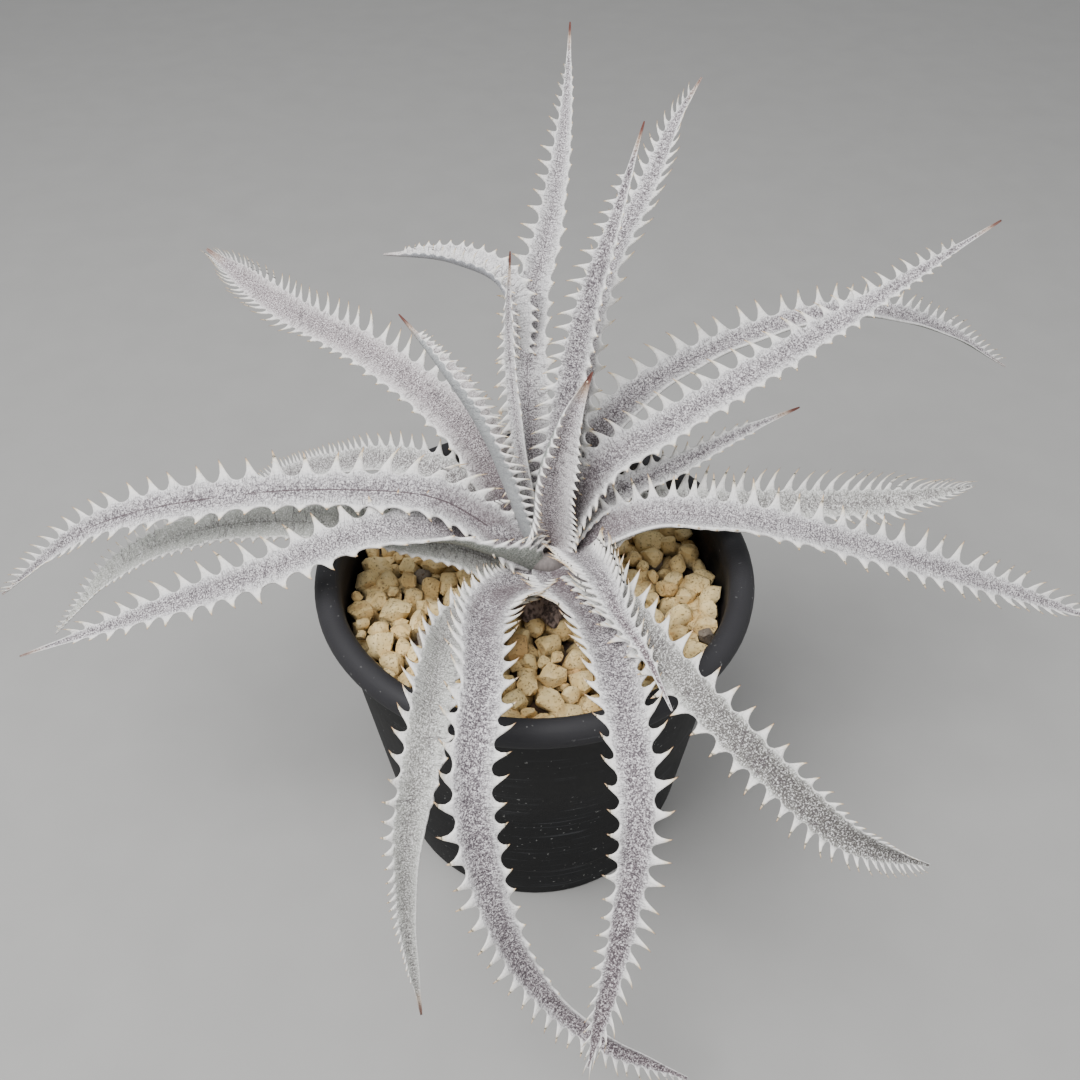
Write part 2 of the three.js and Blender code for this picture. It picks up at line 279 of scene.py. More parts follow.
# %% Pot section
def lip_points():
    """The rolled lip, from under its outer edge over the top to inside the pot."""
    for i in range(LIP_STEPS + 1):
        angle = math.radians(mixed(*LIP_ARC, i / LIP_STEPS))
        radius = LIP_RADIUS - LIP_WIDTH / 2 * (1 - math.cos(angle))
        yield radius, POT_HEIGHT - LIP_DROP / 2 * (1 - math.sin(angle))


def pot_section():
    """Half the pot's outline: up the outside, over the lip and down the inside."""
    step_heights = (STEP_HEIGHT + rise for rise in (-EDGE, 0, EDGE, ROUND))
    heights = (*step_heights, BODY_TOP / 2, BODY_TOP - EDGE)
    return [
        (0, 0),
        (BASE_RADIUS - ROUND, 0),
        (BASE_RADIUS - EDGE, EDGE / 2),
        (BASE_RADIUS, ROUND),
        *((wall_radius(height), height) for height in heights),
        (wall_radius(BODY_TOP) + ROUND, BODY_TOP - 0.3 * MM),
        (wall_radius(BODY_TOP) + 1.5 * MM, BODY_TOP + EDGE),
        *lip_points(),
        (wall_radius(BODY_TOP - 6 * MM) - WALL, BODY_TOP - 6 * MM),
        (wall_radius(STEP_HEIGHT) - WALL, STEP_HEIGHT),
        (wall_radius(WALL) - WALL - 1 * MM, WALL + 0.4 * MM),
        (wall_radius(WALL) - WALL - 2 * MM, WALL),
        (0, WALL),
    ]


def spun(section, steps, centre=(0, 0)):
    """A closed round body from (radius, height) pairs that start and end on the axis."""
    bm = bmesh.new()
    chain = [bm.verts.new((radius, 0, height)) for radius, height in section]
    for first, second in zip(chain, chain[1:]):
        bm.edges.new((first, second))
    bmesh.ops.spin(
        bm, geom=bm.verts[:] + bm.edges[:], cent=(0, 0, 0), axis=(0, 0, 1), angle=math.tau,
        steps=steps, use_merge=True,
    )
    bmesh.ops.remove_doubles(bm, verts=bm.verts[:], dist=POLE_MERGE)
    bmesh.ops.translate(bm, verts=bm.verts[:], vec=(*centre, 0))
    bmesh.ops.recalc_face_normals(bm, faces=bm.faces[:])
    return bm


# %% Black plastic
def black_plastic():
    """Near black: dust, specks, scuffs that run round, soil inside the rim, painted light on the lip."""
    paint = Paint("black_plastic")
    place = paint.place()
    dust = paint.noise(place, 60.0, 6.0, 0.7)
    grain = paint.noise(place, 1800.0, 2.0)
    scuffs = paint.noise(paint.stretched(place, (14.0, 14.0, 900.0)), 1.0, 4.0, 0.6)
    scuff_mask = paint.ramp(scuffs, 0.56, 0.7) * paint.ramp(dust, 0.44, 0.62)
    specks = paint.ramp(paint.noise(place, 800.0, 1.0), 0.71, 0.75) * paint.ramp(dust, 0.44, 0.58)
    height = paint.height(place)
    # painted light: the lip is painted lighter than the body, which is kept dark as if in its shade
    lip = paint.ramp(height, 100 * MM, 104 * MM)
    soil_height = paint.ramp(height, 106 * MM, 100 * MM) * paint.ramp(height, 90 * MM, 97 * MM)
    soil_line = soil_height * inside_wall(paint, place)
    body = paint.coats(
        paint.mix(paint.ramp(dust, 0.3, 0.7), colour(2, 2, 3), colour(17, 18, 20)),
        (scuff_mask * 0.6, colour(84, 85, 88)),
        (specks * 0.7, colour(165, 165, 162)),
        (lip * 0.5, colour(60, 59, 62)),
        (soil_line * paint.ramp(dust, 0.4, 0.65), colour(48, 38, 30)),
    )
    return paint.finish(
        Base_Color=body,
        Roughness=0.52 + 0.3 * dust,
        Specular_IOR_Level=0.26,
        Normal=paint.bump(grain + 0.6 * scuffs, 0.3, 0.2 * MM),
    )


def inside_wall(paint, place):
    """1 on the inner face of the pot's rim and 0 outside it."""
    flat = paint.node("VectorMath", {"operation": "MULTIPLY"}, {0: place, 1: (1, 1, 0)})
    radius = paint.node("VectorMath", {"operation": "LENGTH"}, {0: flat}, out=1)
    return paint.ramp(radius, 58.4 * MM, 57.4 * MM)


# %% Pot
def drain_cutters():
    bm = bmesh.new()
    for i in range(DRAIN_HOLES):
        angle = math.tau * i / DRAIN_HOLES
        ring = bmesh.ops.create_cone(
            bm, cap_ends=True, segments=DRAIN_SIDES, depth=4 * WALL,
            radius1=DRAIN_RADIUS, radius2=DRAIN_RADIUS,
        )
        spot = (DRAIN_CIRCLE * math.cos(angle), DRAIN_CIRCLE * math.sin(angle), 0)
        bmesh.ops.translate(bm, verts=ring["verts"], vec=spot)
    return mesh_object("cutters", bm)


def cut_and_apply(piece, cutters):
    """Cuts the holes for good, so that no Boolean and no cutter is left in the scene."""
    cut = piece.modifiers.new("holes", "BOOLEAN")
    cut.object = cutters
    cut.solver = "EXACT"
    graph = bpy.context.evaluated_depsgraph_get()
    holed = bpy.data.meshes.new_from_object(piece.evaluated_get(graph))
    piece.modifiers.clear()
    piece.data = holed
    bpy.data.objects.remove(cutters)


pot = finished("nursery_pot", spun(pot_section(), SPIN_STEPS), black_plastic(), "pot")
cut_and_apply(pot, drain_cutters())
print("pot faces:", len(pot.data.polygons))

# %% [markdown]
# ## Potting mix
#
# Under the stones lies a dark bark and peat mix. Hardly any of it shows, only slits between the
# stones and the drain holes, so the frame's own solid stays and gets a crumbly dark finish.


# %% Potting mix
def bark_mix():
    paint = Paint("bark_mix")
    place = paint.place()
    crumbs = paint.noise(place, 420.0, 5.0, 0.7)
    body = paint.mix(paint.ramp(crumbs, 0.35, 0.7), colour(34, 25, 19), colour(84, 62, 44))
    return paint.finish(Base_Color=body, Roughness=0.95, Normal=paint.bump(crumbs, 0.8, 1.5 * MM))


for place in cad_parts["potting_mix"].material_slots:
    place.material = bark_mix()
print("potting mix finished")

# %% [markdown]
# ## Pumice dressing
#
# Pumice gravel is made of blunt, slightly flattened lumps, up to about a centimetre across, no two
# alike. Each stone here is a small icosphere, squashed, dented by noise, cut to a few flat sides
# and dropped where there is still room for it: big stones first, small ones in the gaps, in two
# layers over the dark mix. A number stored on each stone gives it its own colour, and the stones
# lower down get painted shade, as in the gaps between the top ones.

# %% Stone measures
DRESSING_TOP = 98.5 * MM
DRESSING_EDGE = 56.2 * MM
STEM_ROOM = 9 * MM
STONE_RADII = (1.9 * MM, 4.3 * MM)
LAYER_TRIES = 2600
LAYERS = ((DRESSING_TOP, 0.80), (DRESSING_TOP - 3.6 * MM, 0.72))
STONE_SEED = 4
SIZE_FALL = 0.6
SIZE_SPREAD = (0.9, 1.08)
STONE_SINK = 0.55
UNEVEN = (-0.7, 0.9)
STRETCHES = ((0.95, 1.35), (0.82, 1.05), (0.72, 0.92))
SWELL = 1.18
DENT = 0.32
DENT_SCALE = 1.3
FACETS = 9
FACET_AT = 0.7
FACET_CUT = 0.95
STONE_TILT = 0.5
SHARP_FROM = math.radians(34)


# %% Stones
def stone_spots(rng, height, closeness):
    """Random places for one layer of stones, as (x, y, z, radius), biggest first."""
    spots = []
    for i in range(LAYER_TRIES):
        size = mixed(STONE_RADII[1], STONE_RADII[0], (i / LAYER_TRIES) ** SIZE_FALL)
        size *= rng.uniform(*SIZE_SPREAD)
        angle = rng.uniform(0, math.tau)
        reach = math.sqrt(rng.uniform(STEM_ROOM**2, (DRESSING_EDGE - 0.8 * size) ** 2))
        x, y = reach * math.cos(angle), reach * math.sin(angle)
        room = all(math.hypot(x - a, y - b) > closeness * (size + r) for a, b, _, r in spots)
        if room:
            spots.append((x, y, height - STONE_SINK * size + rng.uniform(*UNEVEN) * MM, size))
    return spots


def add_stone(bm, tint_layer, rng, spot):
    x, y, z, size = spot
    lump = bmesh.ops.create_icosphere(bm, subdivisions=2, radius=size)["verts"]
    bmesh.ops.scale(bm, verts=lump, vec=[rng.uniform(*span) for span in STRETCHES])
    seed = Vector([rng.uniform(0, 90) for axis in range(3)])
    tint = rng.random()
    facets = [Vector([rng.gauss(0, 1) for axis in range(3)]).normalized() for i in range(FACETS)]
    for vert in lump:
        direction = vert.co.normalized()
        vert.co *= SWELL + noise.noise(direction * DENT_SCALE + seed) * DENT
        for facet in facets:
            beyond = vert.co.dot(facet) - FACET_AT * size
            vert.co -= facet * max(beyond, 0) * FACET_CUT
        vert[tint_layer] = tint
    tilts = [rng.uniform(-STONE_TILT, STONE_TILT) for axis in range(2)]
    turn = Euler((*tilts, rng.uniform(0, math.tau)))
    bmesh.ops.rotate(bm, verts=lump, cent=(0, 0, 0), matrix=turn.to_matrix())
    bmesh.ops.translate(bm, verts=lump, vec=(x, y, z))


def pumice_stones():
    rng = random.Random(STONE_SEED)
    bm = bmesh.new()
    tint_layer = bm.verts.layers.float.new("tint")
    for height, closeness in LAYERS:
        for spot in stone_spots(rng, height, closeness):
            add_stone(bm, tint_layer, rng, spot)
    return bm


def pumice():
    paint = Paint("pumice")
    place = paint.place()
    tint = paint.attribute("tint")
    pits = paint.noise(place, 1500.0, 2.0, 0.6)
    mottle = paint.noise(place, 260.0, 4.0, 0.6)
    height = paint.height(place)
    stone = paint.coats(
        paint.mix(tint, colour(228, 203, 146), colour(204, 171, 112)),
        (paint.ramp(mottle, 0.4, 0.75) * 0.7, colour(238, 218, 170)),
        (paint.ramp(mottle, 0.44, 0.28) * 0.7, colour(176, 140, 92)),
        (paint.ramp(tint, 0.955, 0.96), colour(208, 170, 114)),  # a few darker stones
        (paint.ramp(tint, 0.965, 0.975), colour(122, 112, 100)),  # and a few grey ones
        (paint.ramp(pits, 0.6, 0.7) * 0.75, colour(96, 70, 46)),
        # painted shade: stones lower down are darkened, as in the gaps between the top ones
        (paint.ramp(height, 96.5 * MM, 91 * MM) * 0.85, colour(52, 38, 26)),
    )
    return paint.finish(
        Base_Color=stone,
        Roughness=0.9,
        Normal=paint.bump(mottle - 0.6 * paint.ramp(pits, 0.55, 0.7), 0.7, 0.9 * MM),
    )


stones = finished("pumice_stones", pumice_stones(), pumice(), "pumice_dressing")
stones.data.set_sharp_from_angle(angle=SHARP_FROM)
print("stone faces:", len(stones.data.polygons))

# %% [markdown]
# ## Crown and stem
#
# Under the rosette the stem is a short thick stub, wrapped in the brown, papery remains of old
# leaf bases, which flare into a ragged collar over the stones. Its top is pale growing tissue with
# one smooth bud. It is spun from its section, then its points are moved a little in and out, most
# of all along the collar, and a squashed ball makes the bud.

# %% Crown
CROWN = (2 * MM, 0)
CROWN_SECTION = (
    (0, 80), (6.5, 80), (6.5, 90), (7.5, 95), (8.5, 98), (10, 99.6), (13, 99.8), (16, 99),
    (16.4, 99.8), (13.6, 102.2), (11, 104), (9, 105.4), (7, 106.8), (4.5, 107.8), (2.4, 108.3), (0, 108.5),
)
CROWN_STEPS = 64
RAGGED_FROM = 9 * MM
RAGGED_LEAST = 0.9 * MM
RAGGED_SCALE = 260
BUD_PLACE = (4.2 * MM, -3 * MM, 111.4 * MM)
BUD_RADII = (5.6 * MM, 3 * MM, 3.4 * MM)


def crown_body():
    section = [(radius * MM, height * MM) for radius, height in CROWN_SECTION]
    bm = spun(section, CROWN_STEPS, CROWN)
    for vert in bm.verts:
        out = Vector((vert.co.x - CROWN[0], vert.co.y - CROWN[1], 0))
        if out.length > 1 * MM:
            rough = noise.noise(Vector((vert.co.x, vert.co.y, 3 * vert.co.z)) * RAGGED_SCALE)
            vert.co += out.normalized() * rough * max(RAGGED_LEAST, out.length - RAGGED_FROM)
    bud = bmesh.ops.create_icosphere(bm, subdivisions=3, radius=1)["verts"]
    bmesh.ops.scale(bm, verts=bud, vec=BUD_RADII)
    bmesh.ops.translate(bm, verts=bud, vec=BUD_PLACE)
    return bm


def crown_tissue():
    paint = Paint("crown_tissue")
    place = paint.place()
    height = paint.height(place)
    fibres = paint.noise(paint.stretched(place, (900.0, 900.0, 160.0)), 1.0, 3.0)
    pale = paint.ramp(height + 2 * MM * fibres, 108 * MM, 112 * MM)
    husk = paint.mix(paint.ramp(fibres, 0.36, 0.64), colour(50, 38, 34), colour(126, 108, 100))
    flesh = paint.mix(fibres, colour(92, 87, 85), colour(146, 138, 135))
    return paint.finish(
        Base_Color=paint.mix(pale, husk, flesh),
        Roughness=0.85,
        Normal=paint.bump(fibres, 0.6, 0.8 * MM),
    )


crown = finished("crown", crown_body(), crown_tissue(), "stem_crown", 1)
print("crown faces:", len(crown.data.polygons))

# %% [markdown]
# ## Measures that change along a leaf
#
# Width, fold, spine length and lean all change from the foot of a leaf to its tip. Each is given
# as a few values at equal steps, and one helper draws a smooth curve through them.


# %% Smooth measures
def along(values, share):
    """The value at a share of the way from the first of the values to the last."""
    place = min(max(share, 0), 1) * (len(values) - 1)
    i = min(int(place), len(values) - 2)
    u = place - i
    first, second = values[i], values[i + 1]
    rise_in = (second - values[max(i - 1, 0)]) / 2
    rise_out = (values[min(i + 2, len(values) - 1)] - first) / 2
    ease = u * u * (3 - 2 * u)
    return mixed(first, second, ease) + u * (1 - u) * (rise_in * (1 - u) - rise_out * u)


print("halfway from 0 over 3 to 4:", along((0, 3, 4), 0.5))

# %% [markdown]
# ## The way a leaf runs
#
# A leaf is easiest to shape flat, like a paper cut-out, and to bend afterwards. Its run through
# the air is a smooth curve through a few chosen points, given from the crown: how far out, how
# far aside and how high. At every point the curve also knows which way is the leaf's right side
# and which way its upper face looks, so that a point of the flat leaf can be carried onto it.

# %% Leaf run
RUN_STEPS = 16


def crown_point(azimuth, reach, sideways, height):
    angle = math.radians(azimuth)
    x = reach * math.cos(angle) - sideways * math.sin(angle)
    y = reach * math.sin(angle) + sideways * math.cos(angle)
    return Vector((CROWN[0] + x * MM, CROWN[1] + y * MM, height * MM))


def curve_point(near, share):
    """A point between the middle two of four points, on a smooth curve through them all."""
    knots = [0.0]
    for first, second in zip(near, near[1:]):
        knots.append(knots[-1] + math.sqrt((second - first).length))
    at = mixed(knots[1], knots[2], share)

    def blend(first, second, start, end):
        return mixed(first, second, (at - start) / (end - start))

    lines = [blend(near[i], near[i + 1], knots[i], knots[i + 1]) for i in range(3)]
    arcs = [blend(lines[i], lines[i + 1], knots[i], knots[i + 2]) for i in range(2)]
    return blend(arcs[0], arcs[1], knots[1], knots[2])


class Run:
    """The curve a leaf follows, with its right side and upper side all along."""

    def __init__(self, azimuth, rolls, stops):
        chosen = [crown_point(azimuth, *stop) for stop in stops]
        chosen = [2 * chosen[0] - chosen[1], *chosen, 2 * chosen[-1] - chosen[-2]]
        self.points = [
            curve_point(chosen[i : i + 4], step / RUN_STEPS)
            for i in range(len(stops) - 1)
            for step in range(RUN_STEPS)
        ]
        self.points.append(chosen[-2])
        self.distances = [0.0]
        for first, second in zip(self.points, self.points[1:]):
            self.distances.append(self.distances[-1] + (second - first).length)
        self.length = self.distances[-1]
        self.axes = list(self.turned_axes(rolls))

    def turned_axes(self, rolls):
        last = len(self.points) - 1
        side = None
        for i, distance in enumerate(self.distances):
            ahead = (self.points[min(i + 1, last)] - self.points[max(i - 1, 0)]).normalized()
            side = side or ahead.cross(Vector((0, 0, 1)))
            side = (side - ahead * side.dot(ahead)).normalized()
            roll = math.radians(along(rolls, distance / self.length))
            rolled = side * math.cos(roll) - ahead.cross(side) * math.sin(roll)
            yield rolled, rolled.cross(ahead)

    def carry(self, across, distance, up):
        """Where a point of the flat leaf goes."""
        i = max(1, min(bisect_right(self.distances, distance), len(self.distances) - 1))
        share = (distance - self.distances[i - 1]) / (self.distances[i] - self.distances[i - 1])
        here = mixed(self.points[i - 1], self.points[i], share)
        steady = max(0.0, min(1.0, share))
        side = mixed(self.axes[i - 1][0], self.axes[i][0], steady)
        top = mixed(self.axes[i - 1][1], self.axes[i][1], steady)
        return here + side * across + top * up


# %% [markdown]
# ## Rows of the blade
#
# The blade is a grid that tapers to a point, but its rows aren't evenly spaced. Every fourth row
# is the bottom of the notch between two spines, and the three after it are the rear, the middle
# and the front of a spine's foot. The spines stand widest apart halfway along the leaf and crowd
# towards its tip, and the very tip is bare. Both margins get rows of their own, so that the
# spines of one side don't face those of the other.

# %% Leaf rows
FIRST_SPINE = 5 * MM
FOOT_SHARE = 0.33
BARE_ROWS = 4
ROW_SHIFT = 0.22
STRAY = 0.08


def spine_places(leaf, length):
    """Middle and space of every spine, from the foot of the leaf to its bare tip."""
    places = []
    start = FIRST_SPINE
    while start < length - leaf["bare"] * MM:
        space = along(leaf["pitches"], start / length) * MM
        places.append((start + space / 2, space))
        start += space
    return places


def margin_rows(rng, places, length):
    """Distances of all rows along one margin, and the middle of every spine."""
    shift = rng.uniform(-ROW_SHIFT, ROW_SHIFT)
    rows = [0.0]
    for k, (middle, space) in enumerate(places):
        middle += space * (shift + rng.uniform(-STRAY, STRAY))
        foot = FOOT_SHARE * space
        if k:
            rows.append((rows[-1] + middle - foot) / 2)
        rows += [middle - foot, middle, middle + foot]
    last = rows[-1]
    return rows + [mixed(last, length, step / BARE_ROWS) for step in range(1, BARE_ROWS + 1)]


# %% [markdown]
# ## Sizes of the spines
#
# A dyckia's spines are hard outgrowths of the margin, shaped like shark fins: broad at the foot,
# then suddenly slender and hooked. Near the crown they mostly point back towards it, and further
# out many lean towards the tip. Each margin of a leaf has its own lengths and leans.

# %% Spine sizes
SHORTEST_SPINE = 0.6 * MM
LENGTH_SPREAD = (0.86, 1.12)
LEAN_SPREAD = (-0.13, 0.13)
LIFT_SPREAD = (-0.06, 0.2)


def spine_sizes(rng, leaf, side, places, length):
    """For each spine of a margin: its length, its lean along the leaf and its lift."""
    sizes = []
    for middle, _ in places:
        share = middle / length
        reach = along(leaf["spines"][side], share) * MM * rng.uniform(*LENGTH_SPREAD)
        lean = along(leaf["leans"][side], share) + rng.uniform(*LEAN_SPREAD)
        sizes.append((reach, lean, rng.uniform(*LIFT_SPREAD)))
    return sizes


# %% [markdown]
# ## The flat blade
#
# The flat sheet is then pulled into a slab, thick along the middle and thin at the margins.
# Every point keeps its own measures as numbers: they place the spines, they bend the leaf, and
# in the end they colour it.

# %% Blade
# line sets how dark the painted shade along a leaf's middle crease is
TONES = ("frost", "blush", "green", "dark", "line", "ripe")
COLUMNS = 6
FOOT_WIDTH = 0.5
FOOT_END = 0.07
NOTCH_DEPTH = 1.6 * MM
NOTCH_LIMIT = 0.3
NOTCH_SHAPE = (1, 0.65, 0, 0.65)
THINNING = 1.6
MIDRIB = (2.3, 2.1, 1.7, 1.2, 0.3)
MARGIN = (1.1, 1.0, 0.9, 0.7, 0.2)


def leaf_layers(bm):
    floats = ("along", "across", "togo", "spine", "under", "post", *TONES)
    layers = {name: bm.verts.layers.float.new(name) for name in floats}
    layers["tooth"] = bm.verts.layers.int.new("tooth")
    layers["flat"] = bm.verts.layers.float_vector.new("flat")
    layers["sharp"] = bm.verts.layers.float.new("crease_vert")
    return layers


def half_width(leaf, share):
    """Half the blade's width: its foot is rounded off, where it clasps the crown."""
    opening = mixed(FOOT_WIDTH, 1, math.sin(math.pi / 2 * min(share / FOOT_END, 1)))
    return 0.5 * along(leaf["widths"], share) * opening * MM


def leaf_sheet(bm, layers, leaf, length, margins, sizes):
    """The flat blade, with its measures written on every point."""
    rows = len(margins[0]) - 1
    bmesh.ops.create_grid(bm, x_segments=COLUMNS, y_segments=rows, size=1)
    for vert in bm.verts:
        across = vert.co.x
        row = round((vert.co.y + 1) / 2 * rows)
        distance = mixed(margins[0][row], margins[1][row], (across + 1) / 2)
        half = half_width(leaf, distance / length)
        number = (row + 3) // 4
        if abs(across) > 0.99 and 0 < number <= len(sizes[0]):
            reach = sizes[across > 0][number - 1][0]
            depth = min(NOTCH_DEPTH, NOTCH_LIMIT * reach, NOTCH_LIMIT * half)
            half -= depth * NOTCH_SHAPE[row % 4]
            if row % 4 and reach > SHORTEST_SPINE:
                vert[layers["tooth"]] = number if across > 0 else -number
                vert[layers["post"]] = row % 4 - 2
        vert[layers["across"]] = across
        vert[layers["along"]] = distance / length
        vert[layers["togo"]] = length - distance
        vert[layers["flat"]] = (across * half, distance, 0)


def thicken(bm, layers, leaf):
    """Pulls the sheet into a slab: the old faces become the underside."""
    lower = bm.verts[:]
    bmesh.ops.extrude_face_region(bm, geom=bm.faces[:])
    for vert in lower:
        share = vert[layers["along"]]
        steep = abs(vert[layers["across"]]) ** THINNING
        thickness = mixed(along(MIDRIB, share), along(MARGIN, share), steep) * leaf["thick"] * MM
        x, y, _ = vert[layers["flat"]]
        vert[layers["under"]] = 1
        vert[layers["flat"]] = (x, y, -thickness)


# %% [markdown]
# ## Growing the spines
#
# Every spine starts from the two small faces at its foot. They are extruded ring by ring, each
# ring smaller and further out, until the last one is drawn together into a point. All the spines
# of a leaf grow at once, because one extrude call takes all the feet together. The faces that a
# ring starts from stay behind inside the spine, out of sight.

# %% Growing spines
HOOK = 0.85
TIP_MERGE = 0.001 * MM
RINGS = ((0.1, 0.76, 0.95), (0.34, 0.43, 0.75), (0.68, 0.19, 0.45), (1.0, 0.0, 0.0))


def grow_spines(bm, layers, sizes):
    tooth = layers["tooth"]
    feet = {}
    for vert in bm.verts:
        if vert[tooth]:
            key = (vert[tooth], round(vert[layers["post"]]), round(vert[layers["under"]]))
            feet[key] = vert[layers["flat"]].copy()
    faces = [f for f in bm.faces if f.verts[0][tooth] and len({v[tooth] for v in f.verts}) == 1]
    for ring in RINGS:
        grown = bmesh.ops.extrude_face_region(bm, geom=faces)["geom"]
        faces = [item for item in grown if isinstance(item, bmesh.types.BMFace)]
        for vert in grown:
            if isinstance(vert, bmesh.types.BMVert):
                place_on_spine(vert, layers, feet, sizes, ring)
    tips = list({vert for face in faces for vert in face.verts})
    for vert in tips:
        vert[layers["sharp"]] = 1
        # each spine's end gets a height of its own, so that it merges with no other
        vert.co = vert[layers["flat"]] + Vector((0, 0, vert[tooth]))
    bmesh.ops.remove_doubles(bm, verts=tips, dist=TIP_MERGE)


def place_on_spine(vert, layers, feet, sizes, ring):
    out, width, thickness = ring
    number = vert[layers["tooth"]]
    post = round(vert[layers["post"]])
    under = round(vert[layers["under"]])
    reach, lean, lift = sizes[number > 0][abs(number) - 1]
    foot = feet[number, post, under]
    centre = (feet[number, 0, 0] + feet[number, 0, 1]) / 2
    bowed = reach * lean * mixed(out, out * out, HOOK)
    ahead = centre.y + (foot.y - centre.y) * width + bowed
    side = 1 if number > 0 else -1
    across = mixed(foot.x, centre.x, out) + side * reach * out
    up = centre.z + (foot.z - centre.z) * thickness + reach * lift * out * out
    vert[layers["flat"]] = (across, ahead, up)
    vert[layers["spine"]] = out


# %% [markdown]
# ## Bending the leaf
#
# Across, a leaf is two arcs that meet in a crease along the middle. How steep an arc gets at the
# margin is the fold of that half: a usual leaf is an open channel that closes towards its tip, and
# some halves are rolled right up. Each point of the flat leaf is laid on its arc first, and then
# carried onto the leaf's run. Each margin also waves a little.

# %% Bending
CREASE = math.radians(12)
WAVE_LENGTH = 23 * MM
WAVE = math.radians(7)
LEAST_BEND = 0.05


def on_arc(half, reach, fold):
    """How far out, how high and how steep the leaf is at a distance from its middle."""
    edge = min(reach / half, 1)
    bow = half / (fold - CREASE)
    slope = mixed(CREASE, fold, edge)
    out = bow * (math.sin(slope) - math.sin(CREASE)) + (reach - edge * half) * math.cos(fold)
    lift = bow * (math.cos(CREASE) - math.cos(slope)) + (reach - edge * half) * math.sin(fold)
    return out, lift, slope


def bend(bm, layers, leaf, run, rng):
    phases = [rng.uniform(0, math.tau) for side in range(2)]
    shift = Vector([rng.uniform(-9, 9) for axis in range(3)])
    for vert in bm.verts:
        across, distance, up = vert[layers["flat"]]
        share = distance / run.length
        side = (across > 0) - (across < 0)
        fold = math.radians(along(leaf["folds"][across > 0], share))
        fold += WAVE * leaf["wave"] * math.sin(distance / WAVE_LENGTH * math.tau + phases[across > 0])
        fold = max(fold, CREASE + LEAST_BEND)
        out, lift, slope = on_arc(half_width(leaf, share), abs(across), fold)
        out -= up * math.sin(slope)
        vert.co = run.carry(side * out, distance, lift + up * math.cos(slope))
        vert[layers["flat"]] = Vector((across, distance, up)) + shift
        for tone in TONES:
            vert[layers[tone]] = leaf[tone]


def leaf_body(leaf, seed):
    rng = random.Random(seed)
    run = Run(leaf["azimuth"], leaf["rolls"], leaf["stops"])
    places = spine_places(leaf, run.length)
    margins = [margin_rows(rng, places, run.length) for side in range(2)]
    sizes = [spine_sizes(rng, leaf, side, places, run.length) for side in range(2)]
    bm = bmesh.new()
    layers = leaf_layers(bm)
    leaf_sheet(bm, layers, leaf, run.length, margins, sizes)
    thicken(bm, layers, leaf)
    grow_spines(bm, layers, sizes)
    bend(bm, layers, leaf, run, rng)
    return bm


# %% [markdown]
# ## Silver scurf
#
# The silver of a dyckia isn't paint: tiny pale scales cover a purple-green leaf, closely along the
# margins and thinly down the middle, where the dark leaf shows between them as a fine speckle.
# All of it is painted from the numbers written on the points, such as how far along and how far
# across, and from three noises over the flat leaf: a fine grain, broad patches and wrinkles.

# %% Patterns of a leaf
MEASURES = ("along", "across", "togo", "spine", "under", *TONES)


def leaf_patterns(paint):
    on = SimpleNamespace(**{name: paint.attribute(name) for name in MEASURES})
    flat = paint.attribute("flat", 1)
    on.edge = abs(on.across)
    on.grain = paint.noise(flat, 2300.0, 3.0, 0.7)
    on.patch = paint.noise(paint.stretched(flat, (1.0, 0.4, 1.0)), 190.0, 4.0, 0.6)
    on.wrinkle = paint.noise(paint.stretched(flat, (200.0, 640.0, 200.0)), 1.0, 3.0)
    on.crack = paint.ramp(abs(on.wrinkle - 0.5), 0.035, 0.0) * paint.ramp(on.patch, 0.35, 0.6)
    return on


def bareness(paint, on):
    """How thinly the scales lie: 0 where they hide the leaf, near 1 where it shows."""
    uneven = 1.2 * (on.patch - 0.5) + 0.8 * on.frost - 0.25 * on.dark
    thin = paint.ramp(on.edge + uneven, 1.12, 0.3)
    return thin * (1 - 0.3 * on.frost) + 0.2 * on.dark * paint.ramp(on.edge, 0.75, 0.3)


# %% Upper face
SCALES = colour(206, 204, 204)
BARE_LEAF = colour(159, 152, 156)
GREEN_LEAF = colour(176, 180, 166)
ROSY_LEAF = colour(202, 176, 174)
DARK_LEAF = colour(112, 94, 98)
DARK_GREEN_LEAF = colour(104, 106, 98)
FLECK = colour(243, 241, 241)
CRACK = colour(88, 80, 84)
SPECKLE = colour(56, 48, 54)
BLOTCH_AND_SHADE = colour(104, 90, 94)
CREASE_SHADE = colour(78, 66, 70)
PALE_MARGIN = colour(234, 232, 229)


